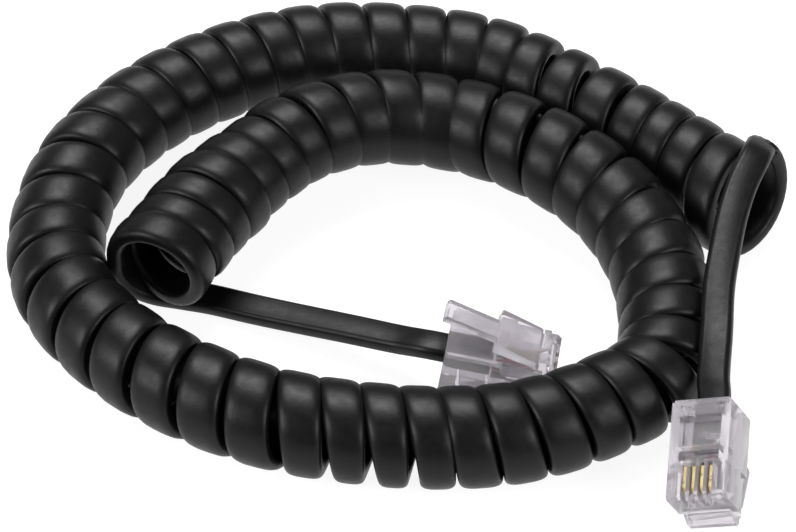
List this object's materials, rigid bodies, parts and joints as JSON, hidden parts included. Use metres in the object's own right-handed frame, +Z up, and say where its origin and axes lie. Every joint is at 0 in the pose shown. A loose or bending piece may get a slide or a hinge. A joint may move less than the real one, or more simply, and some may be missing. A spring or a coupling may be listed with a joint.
{
  "type": "coiled telephone handset cord",
  "caption": "Black coiled handset cord in a flat spiral, with short flat tails and clear latching modular plugs with gold contacts.",
  "frame": {"origin": "on the surface the cord lies on, under the middle of its box", "axes": "+Z up, +X to the right in the picture, +Y away from the viewer"},
  "size_m": [0.0992, 0.089, 0.0163],
  "materials": {
    "jacket": "black PVC, semi-gloss",
    "clear_plastic": "clear polycarbonate, faint grey-lilac tint",
    "gold": "gold plated, polished",
    "conductor_black": "insulation",
    "conductor_red": "insulation",
    "conductor_green": "insulation",
    "conductor_yellow": "insulation"
  },
  "bodies": {
    "cord": {"coiled_cord": "jacket", "cord_tail_a": "jacket", "cord_tail_b": "jacket", "plug_housing_a": "clear_plastic", "jacket_crimp_bar_a": "clear_plastic", "conductor_crimp_bar_a": "clear_plastic", "jacket_end_a": "jacket", "contact_1_a": "gold", "conductor_1_a": "conductor_black", "contact_2_a": "gold", "conductor_2_a": "conductor_red", "contact_3_a": "gold", "conductor_3_a": "conductor_green", "contact_4_a": "gold", "conductor_4_a": "conductor_yellow", "plug_housing_b": "clear_plastic", "jacket_crimp_bar_b": "clear_plastic", "conductor_crimp_bar_b": "clear_plastic", "jacket_end_b": "jacket", "contact_1_b": "gold", "conductor_1_b": "conductor_black", "contact_2_b": "gold", "conductor_2_b": "conductor_red", "contact_3_b": "gold", "conductor_3_b": "conductor_green", "contact_4_b": "gold", "conductor_4_b": "conductor_yellow"},
    "latch_a": {"latch_lever_a": "clear_plastic"},
    "latch_b": {"latch_lever_b": "clear_plastic"}
  },
  "joints": [
    {"name": "latch_a_press", "type": "hinge", "parent": "cord", "child": "latch_a", "pos_m": [0.01846, -0.01854, 0.0076], "axis": [-0.15, -0.9875, 0.0481], "range_deg": [0, 11], "stiffness_Nm_per_rad": 0.08},
    {"name": "latch_b_press", "type": "hinge", "parent": "cord", "child": "latch_b", "pos_m": [0.03989, -0.04022, 0.00266], "axis": [0.9014, -0.2265, 0.369], "range_deg": [0, 9], "stiffness_Nm_per_rad": 0.08}
  ]
}
